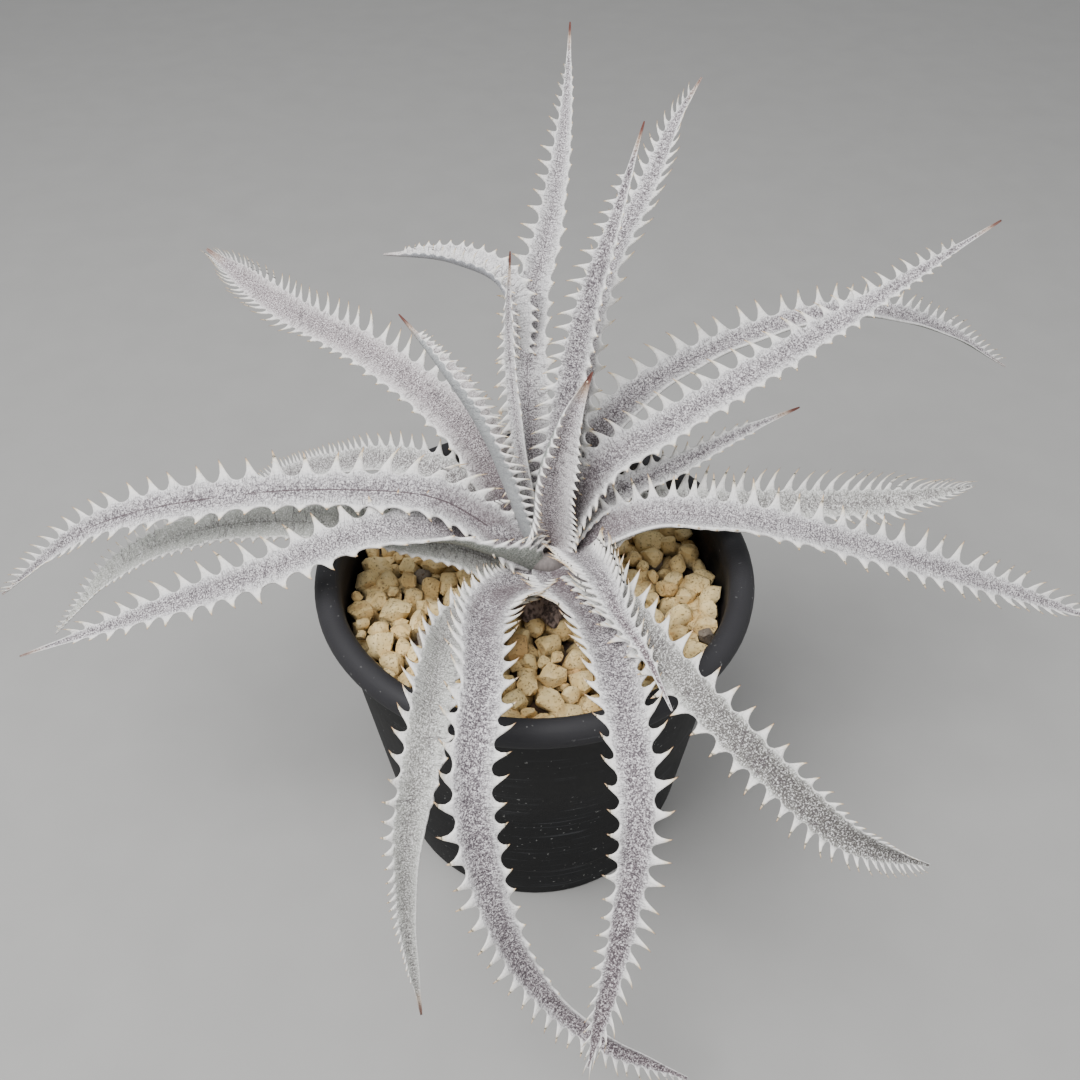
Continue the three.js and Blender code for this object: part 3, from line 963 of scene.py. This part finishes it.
def upper_face(paint, on):
    thin = bareness(paint, on)
    limit = 0.54 - 0.08 * thin
    dots = paint.ramp(on.grain, limit, limit + 0.12)
    flecks = paint.ramp(on.grain, 0.48, 0.36)
    dusk = paint.ramp(on.dark * on.along, 0.22, 0.7) * thin
    # darker blotches at a leaf's foot: partly its own darker base, partly painted shade near the crown
    foot = paint.ramp(on.along, 0.34, 0.04) * paint.ramp(on.edge, 0.95, 0.5)
    blotch_and_shade = foot * paint.ramp(on.patch, 0.4, 0.56)
    # painted shade: a dark line along the middle crease, where the two halves meet
    middle = paint.ramp(on.edge, 0.055, 0.01) * paint.ramp(on.along, 0.85, 0.7)
    line = middle * paint.ramp(on.patch, 0.4, 0.5)
    return paint.coats(
        paint.mix(thin * 0.9, SCALES, BARE_LEAF),
        (on.green * 0.6, GREEN_LEAF),
        (on.blush * 0.5, ROSY_LEAF),
        (dusk * 0.85, paint.mix(on.green, DARK_LEAF, DARK_GREEN_LEAF)),
        (flecks * 0.75, FLECK),
        (on.crack * 0.7, CRACK),
        (dots * (0.5 + 0.35 * thin) * (1 - 0.35 * on.green), SPECKLE),
        (blotch_and_shade * (0.7 - 0.5 * on.frost), BLOTCH_AND_SHADE),
        (line * on.line, CREASE_SHADE),
        (paint.ramp(on.edge, 0.88, 1.0) * 0.6, PALE_MARGIN),
    )


# %% [markdown]
# ## Underside, tips and spines
#
# The underside is greyer. Many leaf tips dry out to brown and red-brown, and how far a leaf has
# gone is one of its numbers. The spines are bare and a little glossy: cream at the foot, amber
# further up and red-brown at the point.


# %% Leaf paint
def with_underside(paint, on, body):
    back = paint.mix(paint.ramp(on.grain, 0.42, 0.62), colour(158, 162, 152), colour(92, 98, 88))
    back = paint.mix(on.frost * 0.85, back, colour(174, 175, 181))
    return paint.mix(on.under * paint.ramp(on.edge, 0.99, 0.9), body, back)


def with_dry_tip(paint, on, body):
    drying = paint.ramp(on.togo, 11 * MM, 4 * MM) * 0.7
    dried = paint.ramp(on.togo, 6 * MM, 2 * MM)
    return paint.coats(
        body,
        (on.ripe * drying, colour(176, 150, 124)),
        (on.ripe * dried, colour(100, 58, 50)),
    )


def with_spines(paint, on, body):
    thorn = paint.coats(
        colour(234, 231, 227),
        (paint.ramp(on.spine, 0.35, 0.75), colour(228, 216, 192)),
        (paint.ramp(on.spine, 0.68, 0.88) * 0.75, colour(196, 152, 98)),
        (paint.ramp(on.spine, 0.88, 0.98) * 0.85, colour(106, 64, 45)),
    )
    return paint.mix(paint.ramp(on.spine, 0.02, 0.2), body, thorn)


def silver_leaf():
    paint = Paint("silver_leaf")
    on = leaf_patterns(paint)
    body = with_underside(paint, on, upper_face(paint, on))
    body = with_dry_tip(paint, on, body)
    return paint.finish(
        Base_Color=with_spines(paint, on, body),
        Roughness=0.8 - 0.35 * paint.ramp(on.spine, 0.2, 0.6),
        Normal=paint.bump(0.5 * on.grain + 1.6 * on.wrinkle - on.crack, 0.5, 0.4 * MM),
    )


silver = silver_leaf()
print("nodes in the leaf paint:", len(silver.node_tree.nodes))

# %% [markdown]
# ## The rosette
#
# Twenty-two leaves: the young ones of the heart first, then those of the sides, the back and the
# front. Each is given by the compass angle of its run (0 is right, 90 back, 180 left), its widths
# and rolls from foot to tip, and the points of its run. Folds, spine lengths and leans come in
# pairs, for the left and the right half of the leaf as seen from the crown. Lengths are in
# millimetres and angles in degrees. What a leaf doesn't name is as usual.

# %% Usual leaf
USUAL = {
    "folds": ((18, 32, 28, 26, 36, 80),) * 2,
    "spines": ((3, 5, 5, 4.6, 3.6, 2.2),) * 2,
    "leans": ((-0.7, -0.4, 0, 0.25, 0.5, 0.8),) * 2,
    "pitches": (1.9, 4.6, 6.2, 5.6, 4.0, 2.4),
    "bare": 12, "thick": 1, "wave": 1,
    "frost": 0.15, "blush": 0, "green": 0, "dark": 0, "line": 0.3, "ripe": 0.6,
}


def leaf(name, azimuth, widths, rolls, stops, **odd):
    whole = {"name": name, "azimuth": azimuth, "widths": widths, "rolls": rolls, "stops": stops}
    return {**USUAL, **whole, **odd}


# %% Young leaves
YOUNG_LEAVES = (
    leaf("short_front_right", -58, (13, 11.8, 10.4, 9.6, 9, 8.4, 7.2, 5, 3, 1.5, 0.3),
         (0, -10), ((1, 9, 112), (31, -1, 129), (49, -6, 131), (60, -7, 130), (75, -9, 124)),
         spines=((4, 6.4, 6.6, 5, 2, 0.3), (4, 5, 5, 3.6, 1.4, 0.3)),
         leans=((-0.9, -0.9, -0.9, -0.7, -0.3, 0),) * 2,
         folds=((24, 56, 60, 56, 50, 60), (20, 26, 24, 22, 26, 50)),
         pitches=(1.9, 2.8, 3.4, 3.4, 3), bare=13, frost=0.5, dark=0.8, line=0.2, ripe=0),
    leaf("young_right", 90, (14, 16, 16, 14, 8, 0.3), (0, 0),
         ((0, -2.5, 111.5), (2, -3.5, 141), (5, -6.9, 155), (9, -13.7, 171)),
         folds=((60, 120, 145, 145, 130, 90), (20, 24, 28, 34, 50, 86)),
         spines=((2.4, 3, 3, 2.6, 1.6, 0.5), (1.6, 2, 2, 1.6, 1, 0.4)),
         pitches=(2.2, 3), thick=0.8, blush=0.2, frost=0.3, ripe=1, bare=12),
    leaf("young_left", 140, (13, 13, 13, 12, 8, 0.5), (-28, -28),
         ((2, 0, 110), (12, 2, 136), (17, 3, 148), (28, 5, 164), (48, 4, 177)),
         folds=((80, 84, 84, 84, 86, 90), (80, 78, 76, 76, 80, 90)),
         spines=((2, 3.4, 3.8, 3.8, 3, 1.5), (1.5, 2, 2, 2, 1.5, 1)),
         leans=((-0.6, -0.5, -0.5, -0.4, 0),) * 2,
         pitches=(2.6, 2.8, 2.8, 2.4), thick=0.8, blush=0.4, frost=0.7, ripe=1, bare=9),
    leaf("young_centre", 105, (4.6, 4.6, 4.6, 4, 2.8, 0.3), (41, 41),
         ((2, 0, 110), (10, 4, 148), (19, 4, 177), (24, 2, 199)),
         folds=((70, 64, 44, 44, 60, 86), (70, 80, 80, 80, 80, 86)),
         spines=((0.3, 2, 4, 4.2, 1.8, 0.4), (0.3, 0.4, 0.4, 1, 2, 1)),
         leans=((-0.5, -0.4, -0.3, -0.3, -0.3),) * 2,
         pitches=(2.2, 3.2, 3.4, 3), thick=0.6, frost=0.5, ripe=1, bare=9),
    leaf("young_upper_right", 22, (12, 11, 8.6, 6.4, 3.6, 0.3), (-24, -40),
         ((2, 0, 111), (18, 0, 127), (43, 0, 133), (63, 0, 139), (83, 0, 143)),
         folds=((30, 60, 62, 62, 70, 85), (24, 46, 46, 46, 60, 80)),
         spines=((2, 3.4, 3.8, 3.2, 2, 0.5), (0.3, 1, 1.4, 1.2, 0.5)),
         pitches=(3, 3.8, 3.8, 3), bare=19, ripe=1, frost=0.3),
    leaf("curled_back", 120, (7, 7, 7, 6, 6, 7.4, 10, 10.8, 10.4, 6.6, 0.5), (0, 0, -30, -45),
         ((2, 0, 109), (24, -6, 152), (36, -10, 180), (48, -1, 185), (64, 15, 184)),
         folds=((50, 85, 88, 88, 90, 90), (50, 70, 70, 70, 75, 90)),
         spines=((2, 3, 3.2, 3.2, 3, 1.5), (2, 2, 2, 2, 1.5, 1)),
         leans=((-0.3, -0.3, -0.3),) * 2,
         pitches=(2.9, 2.9), bare=8, frost=1, ripe=0.2),
)

# %% Leaves of the sides
SIDE_LEAVES = (
    leaf("left_upper", 181, (16, 13.6, 11.1, 11, 6.9, 0.5), (24, 32),
         ((2, 0, 109), (16, 0, 124), (30, 0, 134.5), (57, 0, 138), (89, 0, 136),
          (127, 0, 126), (165, -3, 95)),
         folds=((18, 32, 28, 26, 36, 80), (85, 44, 28, 26, 36, 80)),
         spines=((2, 2.8, 3, 3, 2.8, 2.2), (4, 6, 6, 4.6, 3.9, 3)),
         leans=((-0.6, -0.4, 0, 0.3, 0.5, 0.5), (-1, -0.7, 0, 0.3, 0.45, 0.5)),
         pitches=(4, 6.5, 7.7, 6.6, 4.6, 3.2), bare=4, ripe=0.3, line=1),
    leaf("left_lower", 192, (26, 15, 11, 9.9, 5.2, 0.4), (-15, 22, 26, 28, 30),
         ((2, 0, 107), (15, 0, 118), (29, 0, 127), (50, 0, 130), (80, -1, 120),
          (111, -6, 107), (155, -11, 91)),
         folds=((112, 76, 24, 20, 34, 80), (16, 34, 28, 26, 34, 80)),
         spines=((5, 1.2, 4.2, 4.2, 3.4, 2), (4, 5, 5.4, 5.4, 3.8, 2)),
         leans=((-1.3, -0.6, -0.5, -0.4, 0, 0.4), (-0.4, -0.2, 0.2, 0.4, 0.7, 1)),
         pitches=(2.2, 6, 7.4, 7.2, 6, 3.4), bare=20),
    leaf("left_middle", 177, (16, 14, 12.6, 11, 8, 0.6), (26, 34),
         ((3, 0, 103), (29, 4, 119), (59, 2, 123), (93, 2, 121), (123, 6, 109), (150, 13, 83)),
         spines=((1, 1.6, 1.8, 1.6, 1.4, 1.2), (3, 3, 3, 3, 2.4, 1.5)),
         leans=((-0.2, 0, 0, 0.2),) * 2,
         pitches=(3, 3.3, 3.4, 3.3, 3, 2.2), bare=4, ripe=0.1, frost=0.7, green=0.9),
    leaf("right_lower", -2, (16, 13.1, 10.6, 10.1, 6.4, 0.5), (-24, -32),
         ((2, 0, 108.5), (28, 0, 127), (56, 0, 128), (88, 0, 120), (122, 2, 107), (178, 6, 82)),
         folds=((18, 36, 28, 26, 36, 80), (40, 72, 40, 24, 34, 80)),
         spines=((4, 6.2, 6.3, 5.6, 4.8, 3.4), (0.3, 0.6, 3.6, 4.8, 4.6, 3.2)),
         leans=((-0.3, 0, -0.2, 0, 0.5, 0.8), (0, 0, 0, 0.2, 0.3, 0.5)),
         pitches=(2.2, 5, 6.6, 6.6, 5.4, 3.8)),
    leaf("right_upper", 17, (16, 14.1, 12.9, 11.3, 10.6, 10.5, 10.4, 10.3, 9.6, 5.4, 1), (-20, -40),
         ((3, 0, 106), (33, -1, 122), (56, -2.5, 119), (83, -2.6, 113), (114, -5.4, 108.4),
          (141, -8, 110)),
         spines=((4, 7, 7, 6, 5, 3.6), (1, 1, 1, 1.6, 4.2, 3.8)),
         leans=((-0.2, 0.1, 0.4, 0.8, 1.1, 1.2), (0, 0, 0.2, 0.4, 0.6, 0.6)),
         pitches=(4, 6, 6, 5, 3.4, 2), bare=4, ripe=0, green=0.7),
    leaf("upper_right_rising", 25, (16.5, 13.6, 11.2, 9.6, 5.2, 0.5), (-14, -24),
         ((2, 0, 110), (18, 0, 138), (38, 0, 146), (67, 0, 157), (106, 0, 171), (148, 0, 187)),
         spines=((3, 5, 5, 5, 4.2, 2.5), (2, 2.8, 2.8, 2.8, 2.5, 1.5)),
         leans=((-0.6, -0.5, -0.5, -0.5, -0.4, -0.2), (-0.4, -0.3, -0.3, -0.2, 0)),
         bare=17, ripe=0.9),
    leaf("upper_right_drooping", 42, (16, 12.9, 9.6, 8, 7.2, 0.5), (-10, -18),
         ((2, 0, 106), (28, 5, 140), (51, 4, 149), (82, -4, 155), (108, -20, 160),
          (138, -34, 148), (166, -48, 127)),
         folds=((18, 36, 30, 28, 36, 80), (30, 55, 60, 64, 62, 80)),
         spines=((4, 5.8, 5.8, 4.6, 3.8, 2.5), (0.3, 0.4, 0.4, 0.3)),
         leans=((-0.6, -0.4, -0.4, 0, 0.3, 0.5), (0, 0)),
         pitches=(5, 7, 7, 5, 3.6, 2.6), bare=4, ripe=0.2),
)

# %% Leaves of the back
BACK_LEAVES = (
    leaf("back_right_inner", 57, (16, 13.9, 12, 10.6, 9.8, 9.2, 8.2, 6.6, 4.2, 2.2, 0.2), (0, 0),
         ((2, 0, 109), (14, 0, 162), (23, -1.5, 192), (31, -2.2, 206), (48, 0, 226)),
         leans=((-0.7, -0.5, -0.4, -0.3, -0.2, 0), (-0.3, 0, 0.3)),
         spines=((3, 4, 4, 3.8, 3.2, 1.5), (2, 2, 2, 1.5, 1, 0.5)),
         pitches=(3, 4.4, 4.4, 3.6, 2.6), bare=14, dark=0.4, ripe=1),
    leaf("back_tall", 90, (16, 14.5, 12.6, 9.4, 5.4, 0.3), (0, 0),
         ((3, 0, 107), (23, 4, 158), (43, 3, 172), (62, -2, 184), (91, -7.2, 207),
          (110.5, -8.6, 226.5)),
         folds=((18, 36, 30, 28, 36, 80), (26, 54, 64, 66, 74, 85)),
         spines=((3, 4.4, 4.6, 4.4, 3.8, 2.2), (3.6, 4, 3.4, 2.2, 1.4, 0.8)),
         leans=((-0.3, -0.3, -0.2, -0.1, 0, 0), (-0.2, 0, 0)), bare=14, ripe=1, frost=0.3),
    leaf("back_left_long", 138, (16.5, 15.8, 15, 13.9, 12.9, 12, 11.2, 11, 10.7, 8.2, 1),
         (20, 34),
         ((2, 0, 108), (26, 0, 140), (40, 0, 147), (71, 0, 152), (112, 0, 151), (150, 0, 157)),
         spines=((1, 1.6, 1.8, 2, 4, 3.4), (3.5, 5.4, 5.4, 5.4, 4.2, 3)),
         leans=((0, 0, 0.2, 0.4, 0.8, 1), (-0.3, 0, 0.1, 0.2, 0.3, 0.5)),
         pitches=(4, 5.4, 5.4, 4.8, 3, 1.5), bare=7, blush=0.4),
    leaf("back_right_outer", 61, (14.8, 12.8, 11, 9.4, 8.4, 7.7, 7.3, 7, 6.3, 3.7, 0.5), (0, 0),
         ((3, 0, 104), (21, 0, 150), (36, 0, 186), (61, 0, 202), (78, 1.5, 211), (96, 0.8, 220)),
         spines=((3, 4, 4, 3.6, 3.2, 2.4),) * 2,
         leans=((-0.2, 0.2, 0.5, 0.7, 0.8, 0.9),) * 2, bare=8),
    leaf("back_left_arch", 151, (16, 12.5, 10.1, 8.4, 7, 1), (10, 40, 40),
         ((3, 0, 104), (29, 0, 129), (51, 0, 128), (73, 0, 118), (101, 2, 101), (118, 6, 86)),
         folds=((30, 46, 46, 46, 50, 80), (18, 36, 28, 26, 30, 70)),
         spines=((0.3, 0.4, 0.4, 0.3), (3, 4, 4, 2.8, 2.6, 1.5)),
         leans=((0, 0), (0, 0.1, 0.2, 0.4)),
         pitches=(4, 4.2, 4, 2.2, 1.8, 1.6), bare=4, green=0.5),
)

# %% Leaves of the front
FRONT_LEAVES = (
    leaf("lower_right", -52, (11, 12.6, 13.1, 11.9, 11.1, 10.6, 10, 9.6, 8.9, 5.9, 1), (-16, -38),
         ((2, 7, 107), (20, 3, 116), (42, -4, 124), (68, -9, 126), (97, -9, 122),
          (119, -2, 111), (133, 16, 98)),
         spines=((3, 5, 5, 4.6, 2, 0.5), (0.5, 2.4, 4, 4.2, 4, 3)),
         leans=((-0.3, -0.2, 0, 0.1, 0.5, 0.9), (0, 0, 0.1, 0.1, 0.2, 0.4)),
         pitches=(2.4, 5.4, 6.8, 5.8, 3, 1.7), bare=3, ripe=0, dark=1, green=0.8),
    leaf("front_right", -77, (16, 15, 14.6, 14, 13, 11.4, 10.2, 9, 7.2, 5.7, 0.4), (0, -16),
         ((2, 0, 109.4), (34, 7, 118), (63, 6, 122), (88, 3.2, 116), (99, 0, 102), (109, -5.6, 83),
          (118, -12, 66), (124, -16.6, 52)),
         folds=((16, 34, 28, 26, 32, 70), (16, 40, 40, 44, 50, 70)),
         spines=((3.5, 5, 5, 5, 4.6, 3.4), (4, 3.8, 3.6, 3.6, 3.2, 2.5)),
         leans=((-0.9, -0.7, -0.5, -0.3, 0.2, 1), (-0.9, -0.7, -0.5, -0.4, -0.1, 0.6)),
         pitches=(1.9, 4.6, 5.6, 5.6, 4.6, 3.4), bare=2, dark=0.6, ripe=0),
    leaf("front", -103, (16, 14.6, 13.8, 12.8, 12, 11.4, 9.6, 8, 6.6, 5.7, 1.2), (0, 30),
         ((2, 0, 107), (34, -7, 122), (67, 0, 129), (88, 3, 118), (100, 10, 93), (105, 22, 63),
          (106, 40, 41), (103, 65, 22)),
         folds=((16, 34, 26, 50, 82, 85), (16, 34, 26, 24, 30, 60)),
         spines=((2.6, 3.6, 3.4, 2, 0.3, 0.3), (3, 4.6, 4.8, 4.8, 4.2, 3)),
         leans=((-0.9, -0.7, -0.55, -0.45, 0), (-0.9, -0.6, -0.45, -0.3, 0, 0.3)),
         pitches=(1.9, 5, 6.2, 6, 4.4, 2.6), bare=3, ripe=0, dark=0.6),
    leaf("front_left", -118, (16, 14.6, 13.8, 13, 12.2, 11.6, 9.8, 7.2, 5.4, 3.5, 0.4), (0, 26),
         ((3, 0, 105), (38, -6, 114), (60, 1, 120), (80, 10, 120), (94, 13, 105), (103, 16, 78),
          (111, 23, 47)),
         folds=((16, 40, 32, 60, 76, 85), (16, 36, 28, 28, 40, 80)),
         spines=((2, 3.4, 3.4, 0.4, 0.3, 0.3), (2.5, 3.6, 4, 3.6, 2, 0.5)),
         leans=((-0.5, -0.4), (-0.5, -0.5, -0.4, -0.3, -0.1, 0)),
         pitches=(4, 5, 5.4, 4.4, 2.6, 2.4), bare=14, ripe=0.8, green=0.8),
)

# %% Growing the leaves
for number, shape in enumerate(YOUNG_LEAVES + SIDE_LEAVES + BACK_LEAVES + FRONT_LEAVES):
    body = leaf_body(shape, number)
    name = shape["name"]
    blade = finished(f"blade_{name}", body, silver, f"leaf_{name}", 1)
    print(blade.name, len(blade.data.polygons), "faces")

# %% [markdown]
# ## Floor and light
#
# The plant stands on a plain pale floor. One large soft light hangs above, in front and to the
# left, as under a shade cloth. A weaker one at the right and a pale sky fill the shadows.

# %% Floor
FLOOR_SIZE = 3.0
FLOOR_DROP = 0.05 * MM

floor_bm = bmesh.new()
bmesh.ops.create_grid(floor_bm, x_segments=4, y_segments=4, size=FLOOR_SIZE)
bmesh.ops.translate(floor_bm, verts=floor_bm.verts[:], vec=(0, 0, -FLOOR_DROP))
floor = mesh_object("floor", floor_bm)
floor_paint = Paint("floor_paint")
soft_grain = floor_paint.noise(floor_paint.place(), 40.0, 3.0)
floor_tone = floor_paint.mix(soft_grain, colour(152, 151, 149), colour(160, 159, 157))
floor.data.materials.append(floor_paint.finish(Base_Color=floor_tone, Roughness=0.9))
floor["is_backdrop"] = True
print("floor:", 2 * FLOOR_SIZE, "m wide")

# %% Lights
SKY = 0.54
SKY_COLOUR = (0.95, 0.97, 1.0, 1.0)
KEY_WATTS = 15.0
KEY_PLACE = (-0.32, -0.3, 0.92)
FILL_WATTS = 4.0
FILL_PLACE = (0.7, -0.5, 0.6)
LIT_POINT = (0, 0, 0.1)


def soft_light(name, place, size, watts):
    data = bpy.data.lights.new(name, "AREA")
    data.shape = "DISK"
    data.size = size
    data.energy = watts
    lamp = bpy.data.objects.new(name, data)
    lamp.location = place
    lamp.rotation_euler = (Vector(LIT_POINT) - Vector(place)).to_track_quat("-Z", "Y").to_euler()
    bpy.context.scene.collection.objects.link(lamp)


soft_light("key", KEY_PLACE, 0.7, KEY_WATTS)
soft_light("fill", FILL_PLACE, 0.8, FILL_WATTS)
sky = bpy.data.worlds.new("sky")
sky.use_nodes = True
sky_sockets = sky.node_tree.nodes["Background"].inputs
sky_sockets["Color"].default_value = SKY_COLOUR
sky_sockets["Strength"].default_value = SKY
bpy.context.scene.world = sky

# %% [markdown]
#
# Both boxes are printed: the frame's and the dressed plant's. They should differ by a few
# millimetres of spines at most.

# %% Sizes
dressed_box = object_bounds()
boxes = {
    "frame": [list(corner) for corner in frame_box],
    "dressed": [list(corner) for corner in dressed_box],
}
for name, (low, high) in boxes.items():
    print(name, [round(value / MM, 1) for value in low], [round(value / MM, 1) for value in high])
